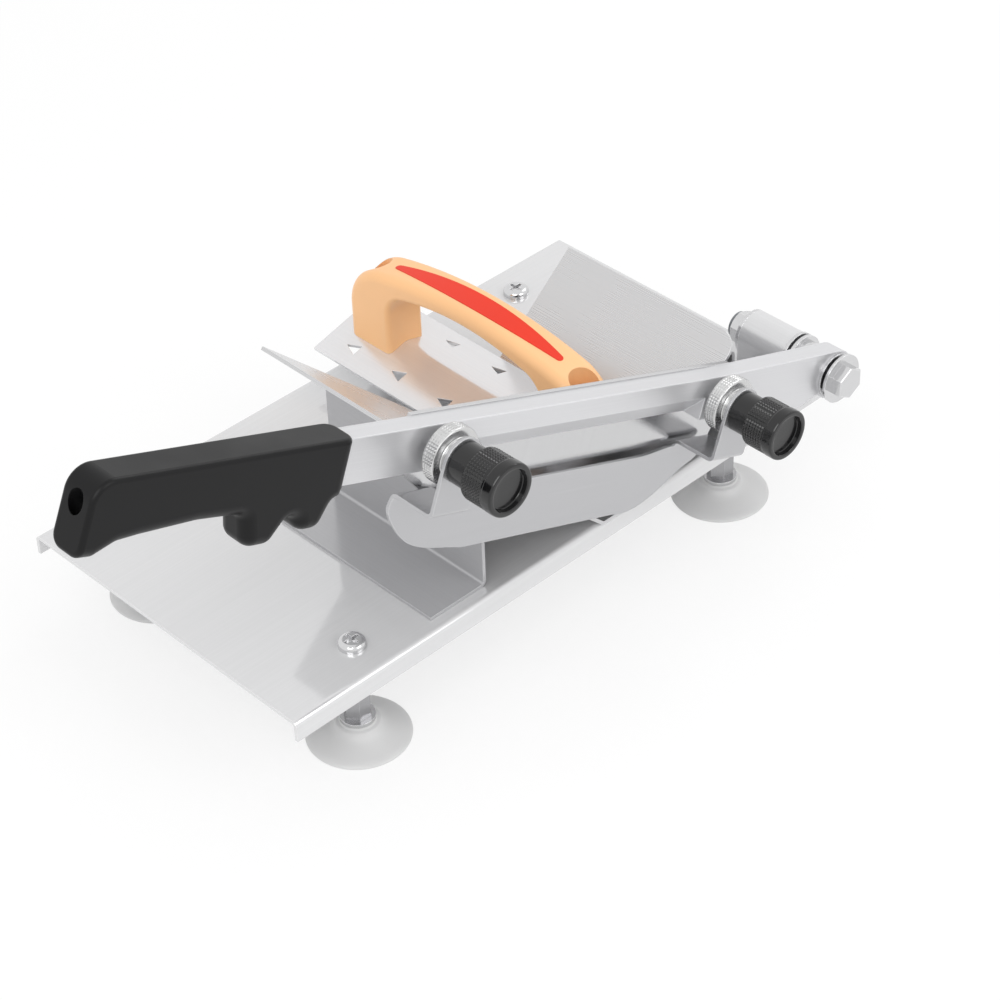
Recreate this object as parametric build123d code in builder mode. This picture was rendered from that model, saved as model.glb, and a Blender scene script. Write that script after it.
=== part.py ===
from build123d import *

import os
from math import cos, radians, sin, tan

os.makedirs("parts", exist_ok=True)

# Driving dimensions in millimetres. X runs along the base towards the pivot, -Y faces the user,
# Z is up, and the origin lies on the table under the middle of the base.

# Base plate: one pressed sheet with a flange down each long side
base_length = 298
base_width = 160
base_top = 46
sheet = 1.5
flange_drop = 9.2
bend = 1.2

# Clearances: between threads and bores of one body, and round screws
fit = 0.05
slack = 0.3
bevel_angle = 45

# Feet: suction cup, washer, hexagonal sleeve and a pan head screw from above
left_foot_inset_share = 0.14765
right_foot_inset = 44
foot_inset_y = 18
cup_diameter = 42.5
cup_height = 9
cup_rim = 1.2
cup_land = 3.5
cup_hollow = 2.2
cup_neck = 15
cup_collar = 1.6
cup_waist_share = 0.36
foot_washer_diameter = 14.5
foot_washer_thickness = 1.6
foot_flats = 10
foot_thread = 6
foot_screw_reach = 14
cup_stud_grip = 5
cup_stud_reach = 10
pan_head = 11.4
pan_head_height = 3.2
pan_head_round = 2.2
cross_width = 1.5
cross_length = 6.4
cross_depth = 1.9

# Trough: a V of sheet metal, open along the top, with a narrow floor on the base plate
trough_inset = 125
trough_floor = 20
trough_depth = 96.8
trough_overhang = 0.8
left_wing_rise = 84.3
left_wing_angle = 43.7
right_wing_rise = 49.5
right_wing_angle = 40
wing_corner = 9

# Supports: folded sheets between the base plate and the wings
left_wall_reach = 60.3
left_foot_share = 0.534
left_support_inset = 6.4
right_wall_inset = 0.9
right_foot = 14
right_support_inset = 0.5
support_lip = 13
support_rear_inset = 1.5

# Pivot: a rolled hinge leaf with a sleeve and two bushes, and a bolt that the arm turns with
pivot_inset = 8.5
pivot_z = 59.5
leaf = 2
knuckle_diameter = 20
knuckle_length = 24
curl_angle = 225
leaf_foot = 17
sleeve_wall = 2
pivot_bolt = 8
bush_length = 9
bush_flange = 1
rear_washer_diameter = 20
washer_thickness = 1.5
lock_nut_flats = 13
lock_nut_height = 6
lock_ring_height = 1.6
lock_ring_diameter = 11.6
bolt_tail = 0.8
thrust_washer_diameter = 21
spring_disc_diameter = 19
arm_spacer_diameter = 17
arm_spacer_length = 7.5
collar_washer_diameter = 20
collar_washer_thickness = 1.2
spring_washer_diameter = 14.6
spring_washer_thickness = 1.4
thin_washer_diameter = 17
thin_washer_thickness = 0.8
large_washer_diameter = 22
large_washer_thickness = 1.2
bolt_head_height = 4.8
hex_bevel = 60
bracket_thread = 5
bracket_head = 9.2
bracket_head_height = 3
bracket_head_round = 1.6
bracket_cross_length = 4.8
bracket_screw_pitch = 12
bracket_nut_flats = 8
bracket_nut_height = 4

# Blade arm: a flat bar, relieved at the front where slices leave
arm_tilt = 21.3
blade_gap = 0.7
arm_thickness = 9
arm_top = 8
arm_bottom = 10.2
arm_reach = 38
arm_end_radius = 10.9
belly_depth = 13
belly_start = 18.5
belly_end = 71.5
belly_rise = 7.8
taper_start = 80
relief_start = 86
relief_inset = 21
relief_top = 0.4
tang_length = 86
tang_half_depth = 6.5
tang_clearance = 0.05

# Blade: a strip of ground steel behind the bar
blade_thickness = 2
blade_spine = 8.5
blade_depth = 30
blade_start = 63.5
blade_length = 183.5
blade_corner_rise = 16
blade_corner_run = 23
blade_bevel = 9
blade_land = 0.25
blade_screw_size = 4
blade_screw_head = 8
blade_screw_reach = 6.5
blade_screw_line = 3
blade_screw_count = 4
blade_screw_inset = 30

# Grip: moulded plastic over the tang, with two finger lobes
grip_length = 115
grip_thickness = 15.4
grip_top = 9.5
grip_depth = 37
grip_edge = 1.8
grip_belly = 5
grip_end_radius = 9
grip_lobe_radius = 5.6
grip_hollow_radius = 3.5
grip_heel_radius = 4
grip_shoulder_run = 11
grip_shoulder_wall = 0.8
hang_hole_diameter = 7.2
hang_hole_angle = 45
hang_hole_height = 10.5
grip_screw_size = 4
grip_screw_head = 7.4
grip_screw_reach = 8
grip_screw_inset = 24
grip_screw_pitch = 40
grip_cross_depth = 0.8

# The grip's outline below its top edge, as shares of its length and its depth
grip_toe_share = (0, 0.635)
grip_rest_share = (0.037, 0.635)
second_lobe_front_share = (0.075, 0.93)
second_lobe_rear_share = (0.157, 0.93)
valley_share = (0.196, 0.655)
first_lobe_front_share = (0.27, 1)
first_lobe_rear_share = (0.368, 1)
palm_start_share = (0.402, 0.635)
palm_share = (0.58, 0.61)
palm_end_share = (0.79, 0.645)
heel_rise_share = (0.875, 0.67)
heel_start_share = (0.955, 0.78)
heel_end_share = (1.015, 0.77)

# Gauge plate, its studs, set nuts and clamping knobs
stud_near = 78.5
stud_inset = 7.5
stud_line = 1
stud_size = 6
stud_seat = 1
stud_length = 40
gauge_offset = 1
gauge_top = 21.5
gauge_depth = 29.5
gauge_step = 5
gauge_tab_reach = 20
gauge_tab_width = 19
gauge_bend = 1.4
set_nut_diameter = 23.6
set_nut_width = 6
set_nut_collar = 16
set_nut_collar_width = 2.5
set_nut_edge = 0.6
set_nut_grooves = 60
set_nut_groove = 0.3
knob_neck = 17
knob_neck_length = 9
knob_head = 21.5
knob_head_length = 15
knob_recess = 16.6
knob_recess_depth = 1.2
knob_edge = 0.8
knob_grooves = 40
knob_groove = 0.5
knob_bore_depth = 20.5
insert_diameter = 10
insert_length = 15

# The gauge plate's outline, as shares of the span between its tabs' outer sides and its depth
gauge_near_edge_shares = ((0, 0.1), (0.018, 0.33), (0.055, 0.46), (0.113, 0.715), (0.167, 0.91))
gauge_near_foot_share = 0.265
gauge_far_foot_share = 0.75
gauge_far_edge_shares = ((0.836, 0.92), (0.927, 0.755), (0.977, 0.49), (1.004, 0.19), (1, 0.1))
gauge_far_shoulder_share = 0.845
gauge_near_shoulder_share = 0.228

# Pusher: a roof-shaped toothed plate with a D-handle
pusher_length = 154
pusher_width = 49
pusher_angle = 15
pusher_bend = 6
pusher_front_inset = 4.8
seat_gap = 0.5
tooth_rows = 5
tooth_pitch = 28
tooth_width = 5.6
tooth_length = 6.8
tooth_inset = 9.6
tooth_rear_inset = 18
handle_length = 140
handle_width = 20
handle_height = 41
handle_rise = 11
handle_corner = 22
handle_gap_length = 90
handle_bar = 7.5
handle_gap_rise = 8
handle_gap_corner = 12
handle_round = 4
handle_inner_round = 2.4
handle_screw_spacing = 122
handle_bore = 13
handle_bore_floor = 14
handle_thread = 5
handle_head = 9
handle_head_height = 3.4
handle_head_round = 1.6
handle_cross_length = 4.8
handle_washer = 10
handle_washer_thickness = 1
handle_nut_flats = 8
handle_nut_height = 4
inlay_length = 114
inlay_width = 10
inlay_tip = 1.6
inlay_depth = 1.4
inlay_proud = 0.2

# Places worked out from the sizes above
overrun = 2 * sheet
base_front = -base_width / 2
base_right = base_length / 2
pivot_x = base_right - pivot_inset
trough_centre = base_right - trough_inset
base_under = base_top - sheet
floor_top = base_top + sheet
floor_left = trough_centre - trough_floor / 2
floor_right = trough_centre + trough_floor / 2
left_wall = floor_left - left_wall_reach
left_feet = base_length * left_foot_inset_share - base_right
left_foot = (left_wall - left_feet - pan_head / 2) * left_foot_share
trough_front = base_front - trough_overhang
trough_rear = trough_front + trough_depth
left_run = 1 / tan(radians(left_wing_angle))
right_run = 1 / tan(radians(right_wing_angle))
blade_back = trough_front - blade_gap
arm_back = blade_back - blade_thickness
arm_front = arm_back - arm_thickness
arm_middle = arm_back - arm_thickness / 2
knuckle_front = arm_back + arm_spacer_length + 3 * washer_thickness
knuckle_rear = knuckle_front + knuckle_length
bolt_bore = pivot_bolt + 2 * slack
blade_end = blade_start + blade_length
arm_shoulder = blade_end + arm_reach
stud_far = blade_end - stud_inset
relief_end = blade_end - relief_inset
along = Vector(-cos(radians(arm_tilt)), 0, sin(radians(arm_tilt)))


def keep(piece, name):
    """Label a finished piece and write it under its own name."""
    piece.part.label = name
    export_step(piece.part, f"parts/{name}.step")


def arm_plane(y):
    """The plane across the pivot at y: its first axis runs along the arm, its second up."""
    return Plane(origin=(pivot_x, y, pivot_z), x_dir=along, z_dir=(0, 1, 0))


def arm_section(distance):
    """The plane square to the arm at a distance from the pivot: first axis +Y, second up."""
    place = Vector(pivot_x, 0, pivot_z) + along * distance
    return Plane(origin=place, x_dir=(0, 1, 0), z_dir=along * -1)


def beside(path, gap):
    """The points of a path moved to its left by a gap, with mitred corners."""
    points = [Vector(*point) for point in path]
    runs = [(b - a).normalized() for a, b in zip(points, points[1:])]
    lefts = [Vector(-run.Y, run.X) for run in runs]
    moved = [points[0] + lefts[0] * gap]
    for point, before, after in zip(points[1:-1], lefts, lefts[1:]):
        moved.append(point + (before + after) * (gap / (1 + before.dot(after))))
    moved.append(points[-1] + lefts[-1] * gap)
    return moved


def bent_sheet(plane, path, thickness, radius):
    """The section of a folded sheet: a path, thickened to its left, with rounded bends."""
    points = [Vector(*point) for point in path]
    moved = beside(path, thickness)
    with BuildSketch(plane) as section:
        with BuildLine():
            Polyline(*points, *reversed(moved), close=True)
        make_face()
        for i in range(1, len(points) - 1):
            turn = (points[i] - points[i - 1]).cross(points[i + 1] - points[i]).Z
            own = radius + thickness if turn > 0 else radius
            other = radius if turn > 0 else radius + thickness
            fillet(section.vertices().sort_by_distance(points[i])[0], own)
            fillet(section.vertices().sort_by_distance(moved[i])[0], other)
    return section.sketch


def rings(plane, spots, diameter, bore=0):
    """Flat rings of one size, or discs, at the given spots of a plane."""
    with BuildSketch(plane) as section:
        with Locations(*spots):
            Circle(diameter / 2)
            if bore:
                Circle(bore / 2, mode=Mode.SUBTRACT)
    return section.sketch


def hexagons(plane, spots, flats, bore=0):
    """Hexagons of one size, with a bore if it is given, at the given spots of a plane."""
    with BuildSketch(plane) as section:
        with Locations(*spots):
            RegularPolygon(flats / 2, 6, major_radius=False)
            if bore:
                Circle(bore / 2, mode=Mode.SUBTRACT)
    return section.sketch


def crosses(plane, spots, length):
    """Cross recesses at the given spots of a plane."""
    with BuildSketch(plane) as section:
        with Locations(*spots):
            Rectangle(length, cross_width)
            Rectangle(cross_width, length)
    return section.sketch


def knurled(plane, spot, diameter, grooves, groove):
    """A round section with fine grooves along its rim."""
    with BuildSketch(plane) as section:
        with Locations(spot):
            Circle(diameter / 2)
            with PolarLocations(diameter / 2, grooves):
                Circle(groove, mode=Mode.SUBTRACT)
    return section.sketch


# Base plate, with holes for the foot screws and the bracket's screws
feet = [(x, y * (base_width / 2 - foot_inset_y))
        for x in (left_feet, base_right - right_foot_inset) for y in (-1, 1)]
bracket_left = pivot_x - knuckle_diameter / 2 - leaf_foot
bracket_middle = (knuckle_front + knuckle_rear) / 2
bracket_spots = [(bracket_left + leaf_foot / 2, bracket_middle + side * bracket_screw_pitch / 2)
                 for side in (-1, 1)]
with BuildPart() as base_plate:
    base_path = ((-base_front, base_top - flange_drop), (-base_front, base_top),
                 (base_front, base_top), (base_front, base_top - flange_drop))
    extrude(bent_sheet(Plane.YZ, base_path, sheet, bend), amount=base_length / 2, both=True)
    extrude(rings(Plane.XY.offset(base_top), feet, foot_thread + 2 * slack),
            amount=-2 * sheet, mode=Mode.SUBTRACT)
    extrude(rings(Plane.XY.offset(base_top), bracket_spots, bracket_thread + 2 * slack),
            amount=-2 * sheet, mode=Mode.SUBTRACT)
keep(base_plate, "base_plate")

# Feet: four cups, each with a stud into a hexagonal sleeve that a screw clamps from above
sleeve_foot = cup_height + foot_washer_thickness
foot_names = ("front_left", "rear_left", "front_right", "rear_right")
for name, (x, y) in zip(foot_names, feet):
    with BuildPart() as suction_cup:
        with BuildSketch(Plane(origin=(x, y, 0), x_dir=(1, 0, 0), z_dir=(0, -1, 0))):
            with BuildLine():
                rim = Polyline((cup_diameter / 2 - cup_land, 0), (cup_diameter / 2, 0),
                               (cup_diameter / 2, cup_rim))
                waist = (cup_neck / 2 + (cup_diameter - cup_neck) / 2 * cup_waist_share,
                         cup_rim + (cup_height - cup_rim - cup_collar) * cup_waist_share)
                ThreePointArc(rim @ 1, waist, (cup_neck / 2, cup_height - cup_collar))
                Polyline((cup_neck / 2, cup_height - cup_collar), (cup_neck / 2, cup_height),
                         (foot_thread / 2 + fit, cup_height),
                         (foot_thread / 2 + fit, cup_height - cup_stud_grip),
                         (0, cup_height - cup_stud_grip), (0, cup_hollow), rim @ 0)
            make_face()
        revolve(axis=Axis((x, y, 0), (0, 0, 1)))
    keep(suction_cup, f"suction_cup_{name}")

    with BuildPart() as foot_sleeve:
        extrude(hexagons(Plane.XY.offset(sleeve_foot), [(x, y)], foot_flats,
                         foot_thread + 2 * fit), amount=base_under - sleeve_foot)
    keep(foot_sleeve, f"foot_sleeve_{name}")

with BuildPart() as foot_washers:
    extrude(rings(Plane.XY.offset(cup_height), feet, foot_washer_diameter,
                  foot_thread + 2 * slack), amount=foot_washer_thickness)
keep(foot_washers, "foot_washers")

with BuildPart() as cup_studs:
    extrude(rings(Plane.XY.offset(cup_height - cup_stud_grip), feet, foot_thread),
            amount=cup_stud_grip + foot_washer_thickness + cup_stud_reach)
keep(cup_studs, "cup_studs")

with BuildPart() as foot_screws:
    extrude(rings(Plane.XY.offset(base_top), feet, pan_head), amount=pan_head_height)
    fillet(foot_screws.faces().group_by(Axis.Z)[-1].edges(), pan_head_round)
    extrude(crosses(Plane.XY.offset(base_top + pan_head_height), feet, cross_length),
            amount=-cross_depth, mode=Mode.SUBTRACT)
    extrude(rings(Plane.XY.offset(base_top), feet, foot_thread),
            amount=-sheet - foot_screw_reach)
keep(foot_screws, "foot_screws")

# Trough: two wings and a floor, with the right wing's front corner rounded
left_lip = (floor_left - left_wing_rise * left_run, floor_top + left_wing_rise)
right_lip = (floor_right + right_wing_rise * right_run, floor_top + right_wing_rise)
with BuildPart() as trough:
    trough_path = (right_lip, (floor_right, floor_top), (floor_left, floor_top), left_lip)
    extrude(bent_sheet(Plane.XZ.offset(-trough_front), trough_path, sheet, bend),
            amount=-trough_depth)
    short_edges = trough.edges().filter_by(lambda edge: edge.length < 2 * sheet)
    fillet(short_edges.sort_by_distance((right_lip[0], trough_front, right_lip[1]))[0], wing_corner)
keep(trough, "trough")

# Left support: its foot points away from the trough, its lip lies under the left wing
left_slope = radians(left_wing_angle)
wall_top = (floor_top + (floor_left - left_wall - sheet) / left_run - 2 * sheet / cos(left_slope))
with BuildPart() as support_left:
    left_path = ((left_wall - left_foot, base_top), (left_wall + sheet, base_top),
                 (left_wall + sheet, wall_top),
                 (left_wall + sheet + support_lip * cos(left_slope),
                  wall_top - support_lip * sin(left_slope)))
    left_front = base_front + left_support_inset
    extrude(bent_sheet(Plane.XZ.offset(-left_front), left_path, sheet, bend),
            amount=left_front - trough_rear + support_rear_inset)
keep(support_left, "support_left")

# Right support: its foot and its lip both point in under the right wing
right_slope = radians(right_wing_angle)
right_wall = right_lip[0] - right_wall_inset
right_top = floor_top + (right_wall - floor_right) / right_run - sheet / cos(right_slope)
with BuildPart() as support_right:
    right_path = ((right_wall - right_foot, base_top), (right_wall, base_top),
                  (right_wall, right_top),
                  (right_wall - support_lip * cos(right_slope),
                   right_top - support_lip * sin(right_slope)))
    right_front = base_front + right_support_inset
    extrude(bent_sheet(Plane.XZ.offset(-right_front), right_path, sheet, bend),
            amount=right_front - trough_rear + support_rear_inset)
keep(support_right, "support_right")

# Pivot bracket: a foot on the base plate, a wall, and an open curl round the sleeve
curl_outer = knuckle_diameter / 2
curl_inner = curl_outer - leaf
with BuildPart() as pivot_bracket:
    with BuildSketch(Plane.XZ.offset(-knuckle_front)) as leaf_section:
        with BuildLine():
            inside = Polyline((bracket_left, base_top), (pivot_x - curl_inner, base_top),
                              (pivot_x - curl_inner, pivot_z))
            CenterArc((pivot_x, pivot_z), curl_inner, 180, -curl_angle)
            tip = Vector(cos(radians(180 - curl_angle)), sin(radians(180 - curl_angle)))
            axis_point = Vector(pivot_x, pivot_z)
            Line(axis_point + tip * curl_inner, axis_point + tip * curl_outer)
            CenterArc((pivot_x, pivot_z), curl_outer, 180 - curl_angle, curl_angle)
            Polyline((pivot_x - curl_outer, pivot_z), (pivot_x - curl_outer, base_top + leaf),
                     (bracket_left, base_top + leaf), inside @ 0)
        make_face()
        corners = leaf_section.vertices()
        fillet(corners.sort_by_distance((pivot_x - curl_inner, base_top))[0], bend + leaf)
        corners = leaf_section.vertices()
        fillet(corners.sort_by_distance((pivot_x - curl_outer, base_top + leaf))[0], bend)
    extrude(amount=-knuckle_length)
    extrude(rings(Plane.XY.offset(base_top + leaf), bracket_spots, bracket_thread + 2 * slack),
            amount=-2 * leaf, mode=Mode.SUBTRACT)
keep(pivot_bracket, "pivot_bracket")

with BuildPart() as bracket_screws:
    bracket_seat = base_top + leaf
    extrude(rings(Plane.XY.offset(bracket_seat), bracket_spots, bracket_head),
            amount=bracket_head_height)
    fillet(bracket_screws.faces().group_by(Axis.Z)[-1].edges(), bracket_head_round)
    extrude(crosses(Plane.XY.offset(bracket_seat + bracket_head_height), bracket_spots,
                    bracket_cross_length), amount=-cross_depth, mode=Mode.SUBTRACT)
    extrude(rings(Plane.XY.offset(bracket_seat), bracket_spots, bracket_thread),
            amount=-leaf - sheet - bracket_nut_height - sheet)
keep(bracket_screws, "bracket_screws")

with BuildPart() as bracket_nuts:
    extrude(hexagons(Plane.XY.offset(base_under), bracket_spots, bracket_nut_flats,
                     bracket_thread + 2 * fit), amount=-bracket_nut_height)
keep(bracket_nuts, "bracket_nuts")

# Sleeve and flanged bushes inside the curl
centre = [(0, 0)]
sleeve_outer = 2 * (curl_inner - fit)
sleeve_inner = sleeve_outer - 2 * sleeve_wall
with BuildPart() as pivot_sleeve:
    extrude(rings(arm_plane(knuckle_front + bush_flange), centre, sleeve_outer, sleeve_inner),
            amount=knuckle_length - 2 * bush_flange)
keep(pivot_sleeve, "pivot_sleeve")

for name, y, way in (("pivot_bush_front", knuckle_front, 1), ("pivot_bush_rear", knuckle_rear, -1)):
    with BuildPart() as pivot_bush:
        extrude(rings(arm_plane(y), centre, sleeve_outer), amount=way * bush_flange)
        extrude(rings(arm_plane(y), centre, sleeve_inner - 2 * fit), amount=way * bush_length)
        extrude(rings(arm_plane(y), centre, pivot_bolt + 2 * fit), amount=way * bush_length,
                mode=Mode.SUBTRACT)
    keep(pivot_bush, name)

# Bolt, washers, spacer and lock nut, which turn with the arm
head_stack = (
    ("arm_collar_washer", collar_washer_diameter, collar_washer_thickness),
    ("bolt_spring_washer", spring_washer_diameter, spring_washer_thickness),
    ("bolt_thin_washer", thin_washer_diameter, thin_washer_thickness),
    ("bolt_large_washer", large_washer_diameter, large_washer_thickness),
)
head_seat = arm_front
for name, diameter, thickness in head_stack:
    with BuildPart() as washer:
        extrude(rings(arm_plane(head_seat), centre, diameter, bolt_bore), amount=-thickness)
    keep(washer, name)
    head_seat -= thickness

nut_seat = knuckle_rear + washer_thickness
bolt_end = nut_seat + lock_nut_height + lock_ring_height + bolt_tail
with BuildPart() as pivot_bolt_piece:
    extrude(hexagons(arm_plane(head_seat), centre, lock_nut_flats), amount=-bolt_head_height)
    drum = lock_nut_flats + 2 * bolt_head_height * tan(radians(hex_bevel))
    extrude(rings(arm_plane(head_seat), centre, drum), amount=-bolt_head_height,
            taper=hex_bevel, mode=Mode.INTERSECT)
    extrude(rings(arm_plane(head_seat), centre, pivot_bolt), amount=bolt_end - head_seat)
keep(pivot_bolt_piece, "pivot_bolt")

with BuildPart() as arm_spacer:
    extrude(rings(arm_plane(arm_back), centre, arm_spacer_diameter, bolt_bore),
            amount=arm_spacer_length)
keep(arm_spacer, "arm_spacer")

disc_seat = arm_back + arm_spacer_length + washer_thickness
with BuildPart() as thrust_washers:
    for y in (disc_seat - washer_thickness, disc_seat + washer_thickness):
        extrude(rings(arm_plane(y), centre, thrust_washer_diameter, bolt_bore),
                amount=washer_thickness)
keep(thrust_washers, "thrust_washers")

with BuildPart() as disc_spring:
    extrude(rings(arm_plane(disc_seat), centre, spring_disc_diameter, bolt_bore),
            amount=washer_thickness)
keep(disc_spring, "disc_spring")

with BuildPart() as rear_washer:
    extrude(rings(arm_plane(knuckle_rear), centre, rear_washer_diameter, bolt_bore),
            amount=washer_thickness)
keep(rear_washer, "rear_washer")

with BuildPart() as lock_nut:
    extrude(hexagons(arm_plane(nut_seat), centre, lock_nut_flats), amount=lock_nut_height)
    drum = lock_nut_flats + 2 * lock_nut_height * tan(radians(hex_bevel))
    extrude(rings(arm_plane(nut_seat), centre, drum), amount=lock_nut_height,
            taper=hex_bevel, mode=Mode.INTERSECT)
    extrude(rings(arm_plane(nut_seat), centre, pivot_bolt + 2 * fit), amount=lock_nut_height,
            mode=Mode.SUBTRACT)
keep(lock_nut, "lock_nut")

with BuildPart() as lock_nut_ring:
    extrude(rings(arm_plane(nut_seat + lock_nut_height), centre, lock_ring_diameter,
                  pivot_bolt + 2 * fit), amount=lock_ring_height)
keep(lock_nut_ring, "lock_nut_ring")

# Blade arm: round end on the pivot, a belly, a long bar with a relieved front, and a tang
screw_step = (blade_length - 2 * blade_screw_inset) / (blade_screw_count - 1)
blade_screw_spots = [(blade_start + blade_screw_inset + i * screw_step, blade_screw_line)
                     for i in range(blade_screw_count)]
stud_spots = [(stud_near, -stud_line), (stud_far, -stud_line)]
grip_screw_spots = [(arm_shoulder + grip_screw_inset + i * grip_screw_pitch, 0) for i in (0, 1)]
tang_end = arm_shoulder + tang_length
with BuildPart() as blade_arm:
    with BuildSketch(arm_plane(arm_back)):
        with BuildLine():
            Polyline((0, arm_end_radius), (taper_start, arm_top), (arm_shoulder, arm_top),
                     (arm_shoulder, tang_half_depth), (tang_end, tang_half_depth),
                     (tang_end, -tang_half_depth), (arm_shoulder, -tang_half_depth),
                     (arm_shoulder, -arm_bottom), (taper_start, -arm_bottom),
                     (belly_end, -belly_depth), (belly_start, -belly_depth),
                     (0, belly_rise - belly_depth), close=True)
        make_face()
        Circle(arm_end_radius)
    extrude(amount=-arm_thickness)
    slope = (arm_bottom - relief_top) / arm_thickness
    with BuildSketch(arm_section(relief_start)):
        with BuildLine():
            Polyline((arm_front - overrun, overrun * slope - relief_top),
                     (arm_back + overrun, -arm_bottom - overrun * slope),
                     (arm_front - overrun, -arm_bottom - overrun * slope), close=True)
        make_face()
    extrude(amount=relief_start - relief_end, mode=Mode.SUBTRACT)
    extrude(rings(arm_plane(arm_back), centre, pivot_bolt + 2 * fit), amount=-arm_thickness,
            mode=Mode.SUBTRACT)
    extrude(rings(arm_plane(arm_back - stud_seat), stud_spots, stud_size + 2 * fit),
            amount=-arm_thickness, mode=Mode.SUBTRACT)
    extrude(rings(arm_plane(arm_back), blade_screw_spots, blade_screw_size + 2 * fit),
            amount=-blade_screw_reach, mode=Mode.SUBTRACT)
    extrude(rings(arm_plane(arm_back), grip_screw_spots, grip_screw_size + 2 * fit),
            amount=-arm_thickness, mode=Mode.SUBTRACT)
keep(blade_arm, "blade_arm")

for name, (u, v) in zip(("gauge_stud_right", "gauge_stud_left"), stud_spots):
    with BuildPart() as gauge_stud:
        extrude(rings(arm_plane(arm_back - stud_seat), [(u, v)], stud_size), amount=-stud_length)
    keep(gauge_stud, name)

# Blade: its far lower corner is cut away and its edge is ground on the front
with BuildPart() as blade:
    with BuildSketch(arm_plane(blade_back)):
        with BuildLine():
            Polyline((blade_start, blade_spine), (blade_end, blade_spine),
                     (blade_end, blade_corner_rise - blade_depth),
                     (blade_end - blade_corner_run, -blade_depth),
                     (blade_start, -blade_depth), close=True)
        make_face()
    extrude(amount=-blade_thickness)
    with BuildSketch(arm_section(blade_start - overrun)):
        with BuildLine():
            Polyline((arm_back - overrun, blade_bevel - blade_depth),
                     (arm_back, blade_bevel - blade_depth),
                     (blade_back - blade_land, -blade_depth),
                     (blade_back - blade_land, -blade_depth - overrun),
                     (arm_back - overrun, -blade_depth - overrun), close=True)
        make_face()
    extrude(amount=-blade_length - 2 * overrun, mode=Mode.SUBTRACT)
    extrude(rings(arm_plane(blade_back), blade_screw_spots, blade_screw_head),
            amount=-(blade_screw_head - blade_screw_size) / 2, taper=bevel_angle, mode=Mode.SUBTRACT)
    extrude(rings(arm_plane(blade_back), blade_screw_spots, blade_screw_size + 2 * fit),
            amount=-blade_thickness, mode=Mode.SUBTRACT)
keep(blade, "blade")

with BuildPart() as blade_screws:
    extrude(rings(arm_plane(blade_back), blade_screw_spots, blade_screw_head - 2 * fit),
            amount=-(blade_screw_head - blade_screw_size) / 2, taper=bevel_angle)
    extrude(crosses(arm_plane(blade_back), blade_screw_spots, blade_screw_size),
            amount=-blade_thickness / 2, mode=Mode.SUBTRACT)
    extrude(rings(arm_plane(blade_back - blade_thickness / 2), blade_screw_spots,
                  blade_screw_size), amount=-blade_thickness / 2 - blade_screw_reach)
keep(blade_screws, "blade_screws")


def on_grip(share):
    """A point of the grip's outline, from its shares of the grip's length and depth."""
    return (arm_shoulder + share[0] * grip_length, grip_top - share[1] * grip_depth)


def below_bar(rim):
    """Whether a rim of the grip lies under the bar's middle."""
    return arm_plane(arm_middle).to_local_coords(rim.center()).Y < -grip_edge


def before_end(rim):
    """Whether a rim of the grip lies short of its end face."""
    return arm_plane(arm_middle).to_local_coords(rim.center()).X < grip_end - grip_edge


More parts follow.
